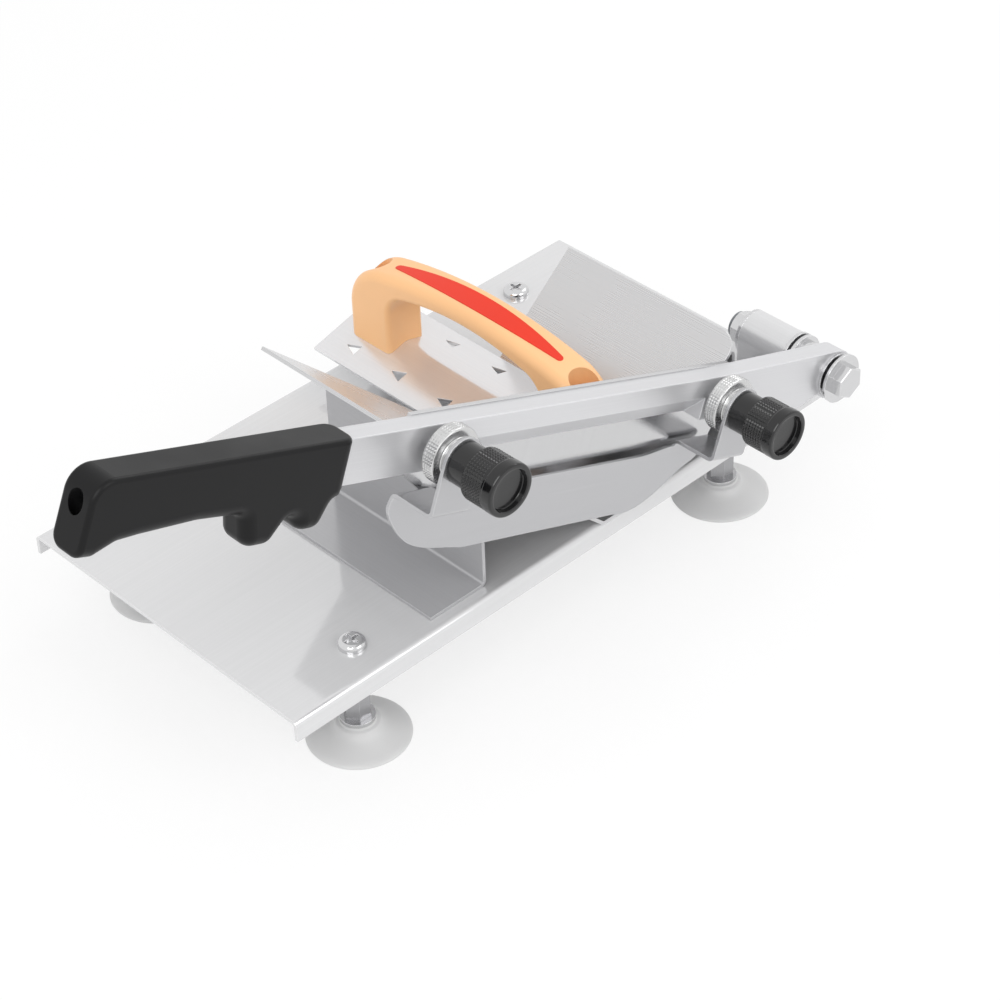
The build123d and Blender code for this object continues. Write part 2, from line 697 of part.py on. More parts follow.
# Grip: two finger lobes, a palm hollow, a heel, and a slanting hole to hang it by
grip_back = arm_middle + grip_thickness / 2
grip_end = arm_shoulder + grip_length
with BuildPart() as grip:
    with BuildSketch(arm_plane(grip_back)):
        with BuildLine():
            back = FilletPolyline((arm_shoulder, grip_top), (grip_end, grip_top),
                                  on_grip(heel_end_share), radius=grip_end_radius)
            belly = FilletPolyline(
                on_grip(heel_end_share), on_grip(heel_start_share), on_grip(heel_rise_share),
                on_grip(palm_end_share), on_grip(palm_share), on_grip(palm_start_share),
                on_grip(first_lobe_rear_share), on_grip(first_lobe_front_share),
                on_grip(valley_share), on_grip(second_lobe_rear_share),
                on_grip(second_lobe_front_share), on_grip(grip_rest_share),
                on_grip(grip_toe_share),
                radius=[grip_heel_radius, 2 * grip_hollow_radius, 2 * grip_end_radius,
                        3 * grip_end_radius, grip_hollow_radius, grip_lobe_radius,
                        grip_lobe_radius, grip_hollow_radius, grip_lobe_radius,
                        grip_lobe_radius, grip_hollow_radius])
            Line(belly @ 1, back @ 0)
        make_face()
    extrude(amount=-grip_thickness)
    rims = grip.faces().filter_by(Axis.Y).edges()
    fillet(rims.filter_by(lambda rim: below_bar(rim) and before_end(rim)), grip_belly)
    rims = grip.faces().filter_by(Axis.Y).edges()
    fillet(rims.filter_by(lambda rim: not below_bar(rim)), grip_edge)
    upward = Vector(0, 1, 0).cross(along)
    with BuildSketch(Plane(origin=(pivot_x, 0, pivot_z), x_dir=along, z_dir=upward)):
        with BuildLine():
            Polyline((arm_shoulder, -arm_back - grip_shoulder_wall),
                     (arm_shoulder + grip_shoulder_run, -grip_back),
                     (arm_shoulder, -grip_back), close=True)
        make_face()
    extrude(amount=grip_depth, both=True, mode=Mode.SUBTRACT)
    with BuildSketch(arm_plane(arm_back + tang_clearance)):
        with BuildLine():
            pocket = tang_half_depth + tang_clearance
            Polyline((arm_shoulder - overrun, pocket), (tang_end + tang_clearance, pocket),
                     (tang_end + tang_clearance, -pocket), (arm_shoulder - overrun, -pocket),
                     close=True)
        make_face()
    extrude(amount=-arm_thickness - 2 * tang_clearance, mode=Mode.SUBTRACT)
    hang_place = arm_plane(arm_middle).from_local_coords(
        Vector(grip_end, grip_top - hang_hole_height, 0))
    hang_way = along * cos(radians(hang_hole_angle)) + upward * sin(radians(hang_hole_angle))
    with BuildSketch(Plane(origin=hang_place, x_dir=(0, 1, 0), z_dir=hang_way)):
        Circle(hang_hole_diameter / 2)
    extrude(amount=grip_depth, both=True, mode=Mode.SUBTRACT)
    extrude(rings(arm_plane(grip_back), grip_screw_spots, grip_screw_head),
            amount=-(grip_screw_head - grip_screw_size) / 2, taper=bevel_angle, mode=Mode.SUBTRACT)
    extrude(rings(arm_plane(grip_back), grip_screw_spots, grip_screw_size + 2 * fit),
            amount=arm_back - grip_back - tang_clearance, mode=Mode.SUBTRACT)
keep(grip, "grip")

with BuildPart() as grip_screws:
    extrude(rings(arm_plane(grip_back), grip_screw_spots, grip_screw_head - 2 * fit),
            amount=-(grip_screw_head - grip_screw_size) / 2, taper=bevel_angle)
    extrude(crosses(arm_plane(grip_back), grip_screw_spots, grip_screw_size),
            amount=-grip_cross_depth, mode=Mode.SUBTRACT)
    extrude(rings(arm_plane(grip_back - grip_cross_depth), grip_screw_spots, grip_screw_size),
            amount=-grip_screw_reach)
keep(grip_screws, "grip_screws")

# Gauge plate: hangs under the bar, with two tabs that come forward and turn up round the studs
gauge_back = arm_back - gauge_offset
tab_back = gauge_back - gauge_tab_reach
gauge_near = stud_near - gauge_tab_width / 2
gauge_span = stud_far + gauge_tab_width / 2 - gauge_near
bend_line = -gauge_top - gauge_bend - sheet


def on_gauge(share):
    """A point of the gauge plate's outline, from its shares of the plate's span and depth."""
    return (gauge_near + share[0] * gauge_span, -gauge_top - share[1] * gauge_depth)


with BuildPart() as gauge_plate:
    with BuildSketch(arm_plane(gauge_back)):
        with BuildLine():
            near_side = Spline(*[on_gauge(share) for share in gauge_near_edge_shares],
                               on_gauge((gauge_near_foot_share, 1)))
            far_side = Spline(on_gauge((gauge_far_foot_share, 1)),
                              *[on_gauge(share) for share in gauge_far_edge_shares])
            Line(near_side @ 1, far_side @ 0)
            low = -gauge_top - gauge_step
            far_low = on_gauge((gauge_far_shoulder_share, 0))[0]
            near_low = on_gauge((gauge_near_shoulder_share, 0))[0]
            far_tab = stud_far - gauge_tab_width / 2
            near_tab = stud_near + gauge_tab_width / 2
            far_top = Line(far_side @ 1, (far_tab, bend_line))
            far_step = Spline(far_top @ 1, (far_low, low), tangents=[(-1, 0), (-1, 0)])
            flat = Line(far_step @ 1, (near_low, low))
            near_step = Spline(flat @ 1, (near_tab, bend_line), tangents=[(-1, 0), (-1, 0)])
            Line(near_step @ 1, near_side @ 0)
        make_face()
    extrude(amount=-sheet)
    tab_path = ((gauge_back, -gauge_top - gauge_step), (gauge_back, -gauge_top),
                (tab_back, -gauge_top), (tab_back, -stud_line))
    for u, v in stud_spots:
        extrude(bent_sheet(arm_section(u - gauge_tab_width / 2), tab_path, sheet, gauge_bend),
                amount=-gauge_tab_width)
        extrude(rings(arm_plane(tab_back), [(u, v)], gauge_tab_width), amount=-sheet)
    extrude(rings(arm_plane(tab_back), stud_spots, stud_size + 2 * slack), amount=-sheet,
            mode=Mode.SUBTRACT)
keep(gauge_plate, "gauge_plate")

# Set nuts behind the tabs and clamping knobs in front of them
knob_seat = tab_back - sheet
collar_back = tab_back + set_nut_collar_width
for side, (u, v) in zip(("right", "left"), stud_spots):
    with BuildPart() as set_nut:
        extrude(knurled(arm_plane(collar_back), (u, v), set_nut_diameter, set_nut_grooves,
                        set_nut_groove), amount=set_nut_width)
        rounded = set_nut_diameter + 2 * (set_nut_width - set_nut_edge)
        for y, way in ((collar_back, 1), (collar_back + set_nut_width, -1)):
            extrude(rings(arm_plane(y), [(u, v)], rounded), amount=way * set_nut_width,
                    taper=bevel_angle, mode=Mode.INTERSECT)
        extrude(rings(arm_plane(collar_back), [(u, v)], set_nut_collar),
                amount=-set_nut_collar_width)
        extrude(rings(arm_plane(tab_back), [(u, v)], stud_size + 2 * fit),
                amount=set_nut_collar_width + set_nut_width, mode=Mode.SUBTRACT)
    keep(set_nut, f"set_nut_{side}")

    with BuildPart() as knob:
        extrude(rings(arm_plane(knob_seat), [(u, v)], knob_neck), amount=-knob_neck_length)
        head_back = knob_seat - knob_neck_length
        with BuildPart(mode=Mode.PRIVATE) as head:
            extrude(knurled(arm_plane(head_back), (u, v), knob_head, knob_grooves, knob_groove),
                    amount=-knob_head_length)
            rounded = knob_head + 2 * (knob_head_length - knob_edge)
            for y, way in ((head_back, -1), (head_back - knob_head_length, 1)):
                extrude(rings(arm_plane(y), [(u, v)], rounded), amount=way * knob_head_length,
                        taper=bevel_angle, mode=Mode.INTERSECT)
        add(head.part)
        extrude(rings(arm_plane(head_back - knob_head_length), [(u, v)], knob_recess),
                amount=knob_recess_depth, mode=Mode.SUBTRACT)
        extrude(rings(arm_plane(knob_seat), [(u, v)], stud_size + 2 * slack),
                amount=-knob_bore_depth, mode=Mode.SUBTRACT)
        extrude(rings(arm_plane(knob_seat), [(u, v)], insert_diameter), amount=-insert_length,
                mode=Mode.SUBTRACT)
    keep(knob, f"knob_{side}")

    with BuildPart() as knob_insert:
        extrude(rings(arm_plane(knob_seat), [(u, v)], insert_diameter - 2 * fit,
                      stud_size + 2 * fit), amount=-insert_length)
    keep(knob_insert, f"knob_insert_{side}")

# Pusher plate: a roof that rides between the trough's wings, with punched teeth
pusher_slope = radians(pusher_angle)
seat_rise = (pusher_width + 2 * seat_gap - trough_floor) / (left_run + right_run)
seat_z = floor_top + seat_rise
pusher_x = trough_centre + seat_rise * (right_run - left_run) / 2
pusher_front = trough_front + pusher_front_inset
pusher_rear = pusher_front + pusher_length
half_width = pusher_width / 2
under_ridge = seat_z + half_width * tan(pusher_slope)
ridge_z = under_ridge + sheet / cos(pusher_slope)
pusher_middle = (pusher_front + pusher_rear) / 2
screw_spots = [(pusher_x, pusher_middle + side * handle_screw_spacing / 2) for side in (-1, 1)]
tooth_ys = [pusher_rear - tooth_rear_inset - i * tooth_pitch for i in range(tooth_rows)]
with BuildPart() as pusher_plate:
    roof = ((pusher_x - half_width, seat_z), (pusher_x, under_ridge),
            (pusher_x + half_width, seat_z))
    extrude(bent_sheet(Plane.XZ.offset(-pusher_front), roof, sheet, pusher_bend),
            amount=-pusher_length)
    for side in (-1, 1):
        edge = Vector(pusher_x + side * half_width, 0, seat_z)
        uphill = Vector(-side * cos(pusher_slope), 0, sin(pusher_slope))
        down = Vector(-side * sin(pusher_slope), 0, -cos(pusher_slope))
        for y in tooth_ys:
            root = edge + uphill * tooth_inset + Vector(0, y, 0)
            with BuildSketch(Plane(origin=root, x_dir=(0, 1, 0), z_dir=down)):
                with BuildLine():
                    Polyline((0, -tooth_width / 2), (0, tooth_width / 2), (tooth_length, 0),
                             close=True)
                make_face()
            extrude(amount=overrun, both=True, mode=Mode.SUBTRACT)
            with BuildSketch(Plane(origin=root - down * sheet, x_dir=down, z_dir=(0, 1, 0))):
                with BuildLine():
                    Polyline((0, -tooth_width / 2), (sheet, -tooth_width / 2),
                             (sheet + tooth_length, 0), (sheet, tooth_width / 2),
                             (0, tooth_width / 2), close=True)
                make_face()
            extrude(amount=-sheet)
    extrude(rings(Plane.XY.offset(seat_z), screw_spots, handle_thread + 2 * slack),
            amount=pusher_width, mode=Mode.SUBTRACT)
keep(pusher_plate, "pusher_plate")

# Pusher handle: an arched bar on two feet that fit the roof, with a pocket for the inlay
handle_foot = ridge_z - handle_width * tan(pusher_slope)
handle_half = handle_length / 2
gap_half = handle_gap_length / 2
arch_radius = (handle_half ** 2 + handle_rise ** 2) / (2 * handle_rise)
handle_gap_height = handle_height - handle_bar
handle_plane = Plane.YZ.offset(pusher_x)
bore_floor = ridge_z + handle_bore_floor


def lens(growth):
    """The inlay's outline seen from above, grown by a length on every side."""
    far_tip = (pusher_x, pusher_middle + inlay_length / 2 + growth)
    near_tip = (pusher_x, pusher_middle - inlay_length / 2 - growth)
    swell = inlay_width / 2 + growth
    with BuildSketch(Plane.XY.offset(ridge_z)) as section:
        with BuildLine():
            ThreePointArc(near_tip, (pusher_x - swell, pusher_middle), far_tip)
            ThreePointArc(far_tip, (pusher_x + swell, pusher_middle), near_tip)
        make_face()
        fillet(section.vertices(), inlay_tip + growth)
    return section.sketch


def inlay_body(inner, outer, growth):
    """A curved slab with the inlay's outline, between two radii of the handle's arch."""
    with BuildPart() as body:
        with BuildSketch(handle_plane):
            with Locations((pusher_middle, ridge_z + handle_height - arch_radius)):
                Circle(outer)
                Circle(inner, mode=Mode.SUBTRACT)
        extrude(amount=handle_width / 2, both=True)
        extrude(lens(growth), amount=handle_height + overrun, mode=Mode.INTERSECT)
    return body.part


def under_roof():
    """All that lies under the upper face of the pusher plate, seen from the front."""
    fall = pusher_width * tan(pusher_slope)
    with BuildSketch(Plane.XZ.offset(-pusher_front)) as section:
        with BuildLine():
            Polyline((pusher_x - pusher_width, ridge_z - fall), (pusher_x, ridge_z),
                     (pusher_x + pusher_width, ridge_z - fall),
                     (pusher_x + pusher_width, floor_top), (pusher_x - pusher_width, floor_top),
                     close=True)
        make_face()
        fillet(section.vertices().sort_by_distance((pusher_x, ridge_z))[0], pusher_bend + sheet)
    return section.sketch


def arch(half, rise, height, corner):
    """An arch over the middle of the pusher: two posts, and a round top between them."""
    with BuildSketch(handle_plane) as section:
        with BuildLine():
            near = (pusher_middle - half, ridge_z + height - rise)
            far = (pusher_middle + half, ridge_z + height - rise)
            ThreePointArc(near, (pusher_middle, ridge_z + height), far)
            Polyline(far, (pusher_middle + half, handle_foot),
                     (pusher_middle - half, handle_foot), near)
        make_face()
        fillet(section.vertices().group_by(Axis.Y)[-1], corner)
    return section.sketch


with BuildPart() as pusher_handle:
    extrude(arch(handle_half, handle_rise, handle_height, handle_corner),
            amount=handle_width / 2, both=True)
    extrude(arch(gap_half, handle_gap_rise, handle_gap_height, handle_gap_corner),
            amount=handle_width / 2, both=True, mode=Mode.SUBTRACT)
    gap_top = ridge_z + handle_gap_height + sheet
    rims = pusher_handle.faces().filter_by(Axis.X).edges()
    rims = rims.filter_by(lambda edge: edge.center().Z > handle_foot + sheet)
    outer_rims = rims.filter_by(lambda edge: edge.center().Z > gap_top
                                or abs(edge.center().Y - pusher_middle) > gap_half + sheet)
    fillet(outer_rims, handle_round)
    rims = pusher_handle.faces().filter_by(Axis.X).edges()
    rims = rims.filter_by(lambda edge: edge.center().Z > handle_foot + sheet)
    inner_rims = rims.filter_by(lambda edge: edge.center().Z < gap_top
                                and abs(edge.center().Y - pusher_middle) < gap_half + sheet)
    fillet(inner_rims, handle_inner_round)
    extrude(under_roof(), amount=-pusher_length, mode=Mode.SUBTRACT)
    extrude(rings(Plane.XY.offset(bore_floor), screw_spots, handle_bore),
            amount=handle_height, mode=Mode.SUBTRACT)
    extrude(rings(Plane.XY.offset(bore_floor), screw_spots, handle_thread + 2 * slack),
            amount=-handle_height, mode=Mode.SUBTRACT)
    add(inlay_body(arch_radius - inlay_depth, arch_radius + overrun, fit), mode=Mode.SUBTRACT)
keep(pusher_handle, "pusher_handle")

with BuildPart() as handle_inlay:
    add(inlay_body(arch_radius - inlay_depth, arch_radius + inlay_proud, 0))
keep(handle_inlay, "handle_inlay")

# Pusher fasteners: screws down through the handle's feet, washers and nuts under the roof
washer_top = under_ridge - handle_washer / 2 * tan(pusher_slope) - fit
nut_top = washer_top - handle_washer_thickness
with BuildPart() as pusher_screws:
    extrude(rings(Plane.XY.offset(bore_floor), screw_spots, handle_head), amount=handle_head_height)
    fillet(pusher_screws.faces().group_by(Axis.Z)[-1].edges(), handle_head_round)
    extrude(crosses(Plane.XY.offset(bore_floor + handle_head_height), screw_spots,
                    handle_cross_length), amount=-cross_depth, mode=Mode.SUBTRACT)
    extrude(rings(Plane.XY.offset(bore_floor), screw_spots, handle_thread),
            amount=nut_top - handle_nut_height - sheet - bore_floor)
keep(pusher_screws, "pusher_screws")

with BuildPart() as pusher_washers:
    extrude(rings(Plane.XY.offset(washer_top), screw_spots, handle_washer,
                  handle_thread + 2 * slack), amount=-handle_washer_thickness)
keep(pusher_washers, "pusher_washers")

with BuildPart() as pusher_nuts:
    extrude(hexagons(Plane.XY.offset(nut_top), screw_spots, handle_nut_flats,
                     handle_thread + 2 * fit), amount=-handle_nut_height)
keep(pusher_nuts, "pusher_nuts")
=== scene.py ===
import math

import bpy
from mathutils import Matrix, Vector


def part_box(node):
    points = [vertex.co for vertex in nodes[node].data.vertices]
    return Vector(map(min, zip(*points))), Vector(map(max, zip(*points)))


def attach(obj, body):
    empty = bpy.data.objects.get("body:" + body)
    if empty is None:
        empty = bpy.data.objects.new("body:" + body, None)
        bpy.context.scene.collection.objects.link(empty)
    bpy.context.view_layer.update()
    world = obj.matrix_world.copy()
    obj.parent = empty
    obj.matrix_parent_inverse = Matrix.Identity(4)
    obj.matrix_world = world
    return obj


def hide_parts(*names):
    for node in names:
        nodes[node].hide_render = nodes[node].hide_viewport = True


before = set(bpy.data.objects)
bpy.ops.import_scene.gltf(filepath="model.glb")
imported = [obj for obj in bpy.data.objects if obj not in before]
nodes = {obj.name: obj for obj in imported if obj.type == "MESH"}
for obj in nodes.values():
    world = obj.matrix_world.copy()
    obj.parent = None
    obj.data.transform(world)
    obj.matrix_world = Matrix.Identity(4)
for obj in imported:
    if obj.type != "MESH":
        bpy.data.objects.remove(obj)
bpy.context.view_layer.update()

# Studio: a white table that keeps a faint shadow, white surroundings, and soft lamps above.
# The camera stands at the left front corner and looks down along the trough.
camera_place = Vector((-0.6047, -0.6832, 0.7480))
camera_yaw, camera_pitch, camera_roll = (math.radians(angle) for angle in (43.02, 38.56, -2.04))
camera_lens = 99.8
sensor_width = 36

forward = Vector((math.sin(camera_yaw) * math.cos(camera_pitch),
                  math.cos(camera_yaw) * math.cos(camera_pitch), -math.sin(camera_pitch)))
level = Vector((math.cos(camera_yaw), -math.sin(camera_yaw), 0))
above = level.cross(forward)
right = level * math.cos(camera_roll) + above * math.sin(camera_roll)
up = above * math.cos(camera_roll) - level * math.sin(camera_roll)
bpy.ops.object.camera_add(location=camera_place)
camera = bpy.context.object
camera.rotation_euler = Matrix((right, up, -forward)).transposed().to_euler()
camera.data.lens = camera_lens
camera.data.sensor_width = sensor_width
camera.data.clip_start = 0.01
bpy.context.scene.camera = camera
bpy.context.scene.view_settings.view_transform = "Standard"


def linear(colour):
    """A colour written as sRGB hex, turned to linear light with an alpha of one."""
    parts = [int(colour[i:i + 2], 16) / 255 for i in (1, 3, 5)]
    return [part / 12.92 if part <= 0.04045 else ((part + 0.055) / 1.055) ** 2.4 for part in parts] + [1]


def add_node(tree, kind, inputs=None, **settings):
    """A node with its settings; each input is a value or a socket to link from."""
    made = tree.nodes.new(kind)
    for name, value in settings.items():
        setattr(made, name, value)
    for name, value in (inputs or {}).items():
        if isinstance(value, bpy.types.NodeSocket):
            tree.links.new(value, made.inputs[name])
        else:
            made.inputs[name].default_value = value
    return made


def seen(tree):
    """One for rays from the camera and for rays seen in gloss or through glass, else nought."""
    path = add_node(tree, "ShaderNodeLightPath")
    either = add_node(tree, "ShaderNodeMath", {0: path.outputs["Is Camera Ray"],
                      1: path.outputs["Is Glossy Ray"]}, operation="MAXIMUM").outputs[0]
    return add_node(tree, "ShaderNodeMath", {0: either, 1: path.outputs["Is Transmission Ray"]},
                    operation="MAXIMUM").outputs[0]


world = bpy.data.worlds.new("white_surroundings")
world.use_nodes = True
ambient_level = 0.8
tree = world.node_tree
tree.nodes.clear()
strength = add_node(tree, "ShaderNodeMapRange", {"Value": seen(tree), "To Min": ambient_level,
                    "To Max": 1.0}).outputs[0]
backdrop = add_node(tree, "ShaderNodeBackground", {"Color": linear("#FFFFFF"), "Strength": strength})
tree.links.new(backdrop.outputs[0], add_node(tree, "ShaderNodeOutputWorld").inputs[0])
bpy.context.scene.world = world

floor_size = 12
floor_share_kept = 0.3
bpy.ops.object.select_all(action="DESELECT")
bpy.ops.mesh.primitive_plane_add(size=floor_size)
floor = bpy.context.object
floor.name = "table_top"
paper = bpy.data.materials.new("white_paper")
paper.use_nodes = True
tree = paper.node_tree
tree.nodes.clear()
matt = add_node(tree, "ShaderNodeBsdfDiffuse", {"Color": linear("#FCFCFC")})
glow = add_node(tree, "ShaderNodeEmission", {"Color": linear("#FFFFFF"), "Strength": 1.0})
share = add_node(tree, "ShaderNodeMath", {0: seen(tree), 1: 1 - floor_share_kept}, operation="MULTIPLY")
mixed = add_node(tree, "ShaderNodeMixShader", {0: share.outputs[0], 1: matt.outputs[0], 2: glow.outputs[0]})
tree.links.new(mixed.outputs[0], add_node(tree, "ShaderNodeOutputMaterial").inputs[0])
floor.data.materials.append(paper)

object_middle = Vector((0, 0, 0.09))
lamps = {
    "window_left": ((-0.95, -0.55, 1.25), 0.9, 6.5),
    "window_front": ((0.35, -1.25, 1.0), 0.8, 4.0),
    "window_right": ((1.2, 0.1, 1.1), 0.6, 2.5),
}
for name, (place, size, power) in lamps.items():
    bpy.ops.object.light_add(type="AREA", location=place)
    lamp = bpy.context.object
    lamp.name = name
    lamp.data.size = size
    lamp.data.energy = power
    lamp.rotation_euler = (object_middle - Vector(place)).to_track_quat("-Z", "Y").to_euler()


# A noise texture's values lie between these two almost everywhere.
noise_low, noise_high = 0.3, 0.7
bevel_samples = 4
clouds_per_metre = 28
mark_depth = 0.2
# Painted edge highlight: the turn of the rounded normal at which the colour is fully lightened, and by how
# much.
edge_highlight_turn, edge_highlight_gain = 0.9, 0.35


def steel(name, colour, roughness, grain, turn=0.0, marks=0.12, cloud=0.04, edge=0.35, mirror=1.0):
    """Stainless steel with polishing marks; grain is their size along X, Y and Z in millimetres.

    Very fine marks scatter part of the light: mirror is the share that is still reflected as an image.
    Within edge millimetres of a corner the normal is rounded and the colour is lightened as a painted
    highlight.
    """
    made = bpy.data.materials.new(name)
    made.use_nodes = True
    tree = made.node_tree
    shader = tree.nodes["Principled BSDF"]
    place = add_node(tree, "ShaderNodeTexCoord").outputs["Object"]
    across = add_node(tree, "ShaderNodeMapping", {"Vector": place, "Rotation": (0, turn, 0),
                      "Scale": [size / 1000 for size in grain]}, vector_type="TEXTURE").outputs[0]
    lines = add_node(tree, "ShaderNodeTexNoise", {"Vector": across, "Scale": 1.0, "Detail": 4.0,
                     "Roughness": 0.65}).outputs[0]
    clouds = add_node(tree, "ShaderNodeTexNoise", {"Vector": place, "Scale": clouds_per_metre,
                      "Detail": 3.0}).outputs[0]
    worn = add_node(tree, "ShaderNodeMath", {0: lines, 1: clouds}, operation="ADD").outputs[0]
    rough = add_node(tree, "ShaderNodeMapRange", {
        "Value": worn, "From Min": 2 * noise_low, "From Max": 2 * noise_high,
        "To Min": roughness - cloud, "To Max": roughness + cloud}).outputs[0]
    tone = add_node(tree, "ShaderNodeMapRange", {
        "Value": lines, "From Min": noise_low, "From Max": noise_high,
        "To Min": 0.95, "To Max": 1.0}).outputs[0]
    softened = add_node(tree, "ShaderNodeBevel", {"Radius": edge / 1000},
                        samples=bevel_samples).outputs[0]
    facing = add_node(tree, "ShaderNodeNewGeometry").outputs["Normal"]
    flat = add_node(tree, "ShaderNodeVectorMath", {0: softened, 1: facing},
                    operation="DOT_PRODUCT").outputs["Value"]
    # Painted highlight: the colour is lightened along every edge, where the rounded normal turns away from
    # the true one.
    painted_edge_highlight = add_node(tree, "ShaderNodeMapRange", {"Value": flat, "From Min": 1.0, "From Max": edge_highlight_turn,
                      "To Min": 0.0, "To Max": edge_highlight_gain}).outputs[0]
    tone = add_node(tree, "ShaderNodeMath", {0: tone, 1: painted_edge_highlight}, operation="ADD").outputs[0]
    tinted = add_node(tree, "ShaderNodeVectorMath", {0: linear(colour)[:3], "Scale": tone},
                      operation="SCALE").outputs[0]
    bump = add_node(tree, "ShaderNodeBump", {"Height": lines, "Strength": marks,
                    "Distance": mark_depth / 1000, "Normal": softened}).outputs[0]
    tree.links.new(tinted, shader.inputs["Base Color"])
    tree.links.new(rough, shader.inputs["Roughness"])
    tree.links.new(bump, shader.inputs["Normal"])
    shader.inputs["Metallic"].default_value = mirror
    return made


def dress(material, *names):
    """Gives a material to nodes of the frame, through the slots of their objects."""
    for name in names:
        for place in nodes[name].material_slots:
            place.material = material


arm_tilt = math.radians(21.3)
ends = ("front_left", "rear_left", "front_right", "rear_right")

# Base plate: one sheet of stainless steel, pressed with a flange down each long side.
# It is polished nearly to a mirror and shows the supports that stand on it.
dress(steel("mirror_polished_stainless_base", "#DFDFE0", 0.085, (90, 0.6, 0.6), marks=0.015, cloud=0.025,
            mirror=0.38), "base_plate")

# Supports: stainless sheet folded to a C and a Z, spot welded under the wings.
# They are left as rolled, so they reflect a little less clearly than the base.
dress(steel("cold_rolled_stainless", "#BBBBBD", 0.18, (0.6, 60, 0.6), marks=0.03, mirror=0.4),
      "support_left", "support_right")

# Trough: one sheet of stainless steel bent to a V with a narrow floor.
# The polishing runs along its length, and the inside is satin.
dress(steel("satin_stainless_trough", "#D0D0D1", 0.28, (0.3, 400, 0.3), marks=0.02, mirror=0.72), "trough")


# Feet: soft grey cups of PVC, each with a collar that the washer presses on.
# A screw from above and a stud from below meet in the hexagonal sleeve.
swirls_per_metre = 40
plastic_index = 1.5


def plastic(name, colour, roughness, speck, depth, gloss=0.5, spread=0.05, edge=0.3):
    """Moulded plastic: a fine skin of speck-sized bumps in millimetres, and a faint unevenness."""
    made = bpy.data.materials.new(name)
    made.use_nodes = True
    tree = made.node_tree
    shader = tree.nodes["Principled BSDF"]
    place = add_node(tree, "ShaderNodeTexCoord").outputs["Object"]
    skin = add_node(tree, "ShaderNodeTexNoise", {"Vector": place, "Scale": 1000 / speck,
                    "Detail": 2.0}).outputs[0]
    clouds = add_node(tree, "ShaderNodeTexNoise", {"Vector": place, "Scale": swirls_per_metre,
                      "Detail": 2.0}).outputs[0]
    rough = add_node(tree, "ShaderNodeMapRange", {
        "Value": clouds, "From Min": noise_low, "From Max": noise_high,
        "To Min": roughness - spread, "To Max": roughness + spread}).outputs[0]
    tone = add_node(tree, "ShaderNodeMapRange", {
        "Value": clouds, "From Min": noise_low, "From Max": noise_high,
        "To Min": 0.97, "To Max": 1.02}).outputs[0]
    tinted = add_node(tree, "ShaderNodeVectorMath", {0: linear(colour)[:3], "Scale": tone},
                      operation="SCALE").outputs[0]
    softened = add_node(tree, "ShaderNodeBevel", {"Radius": edge / 1000},
                        samples=bevel_samples).outputs[0]
    bump = add_node(tree, "ShaderNodeBump", {"Height": skin, "Strength": 0.5,
                    "Distance": depth / 1000, "Normal": softened}).outputs[0]
    tree.links.new(tinted, shader.inputs["Base Color"])
    tree.links.new(rough, shader.inputs["Roughness"])
    tree.links.new(bump, shader.inputs["Normal"])
    shader.inputs["IOR"].default_value = plastic_index
    shader.inputs["Specular IOR Level"].default_value = gloss
    return made


weld_distance = 1e-6
turned_crease = math.radians(35)


def turned(name, profile, count, place, quarter, material, closed=False):
    """A turned piece: a ring drawn out along its axis from step to step of its profile.

    The profile is (radius, height) in millimetres; a closed one is a ring that ends where it began.
    """
    bpy.ops.object.select_all(action="DESELECT")
    radius, height = profile[0]
    bpy.ops.mesh.primitive_circle_add(vertices=count, radius=radius / 1000, location=(0, 0, 0),
                                      fill_type="NOTHING" if closed else "NGON")
    piece = bpy.context.object
    piece.name = name
    bpy.ops.object.mode_set(mode="EDIT")
    bpy.ops.mesh.select_all(action="SELECT")
    bpy.ops.transform.translate(value=(0, 0, height / 1000))
    for wide, high in profile[1:]:
        bpy.ops.mesh.extrude_region_move(
            TRANSFORM_OT_translate={"value": (0, 0, (high - height) / 1000)})
        bpy.ops.transform.resize(value=(wide / radius, wide / radius, 1), center_override=(0, 0, 0))
        radius, height = wide, high
    bpy.ops.mesh.select_all(action="SELECT")
    if closed:
        bpy.ops.mesh.remove_doubles(threshold=weld_distance)
    bpy.ops.mesh.normals_make_consistent(inside=False)
    bpy.ops.mesh.select_all(action="DESELECT")
    bpy.ops.object.mode_set(mode="OBJECT")
    piece.rotation_euler = (quarter, 0, 0)
    piece.location = place
    bpy.ops.object.transform_apply(location=True, rotation=True, scale=True)
    bpy.ops.object.shade_smooth_by_angle(angle=turned_crease)
    piece.data.materials.append(material)
    return piece


soft_pvc = plastic("soft_grey_pvc", "#D6D6D6", 0.4, 1.2, 0.02)
cup_points = 96
cup_profile = ((1.5, 2.6), (9, 2.4), (15, 1.3), (18.2, 0.05), (20.6, 0), (21.05, 0.12), (21.25, 0.45),
               (21.15, 0.85), (20.7, 1.25), (19, 1.95), (16.5, 2.75), (14, 3.65), (11.8, 4.7),
               (10.2, 5.8), (9.4, 6.7), (9.2, 7.3), (8.9, 7.7), (8.3, 7.9), (7.7, 8.1), (7.45, 8.5),
               (7.3, 8.85), (7, 9), (3.1, 9), (3.1, 4.2))
for end in ends:
    low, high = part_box("suction_cup_" + end)
    cup = turned("soft_cup_" + end, cup_profile, cup_points,
                 ((low[0] + high[0]) / 2, (low[1] + high[1]) / 2, 0), 0, soft_pvc)
    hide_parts("suction_cup_" + end)
    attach(cup, "frame")
bright_steel = steel("bright_zinc_plated_steel", "#D6D6D7", 0.16, (2, 2, 2), marks=0.04)
dress(bright_steel, "foot_washers", "cup_studs", "foot_screws")
dress(steel("drawn_hexagon_steel", "#A9A9AB", 0.2, (0.5, 0.5, 30), marks=0.05),
      *("foot_sleeve_" + end for end in ends))

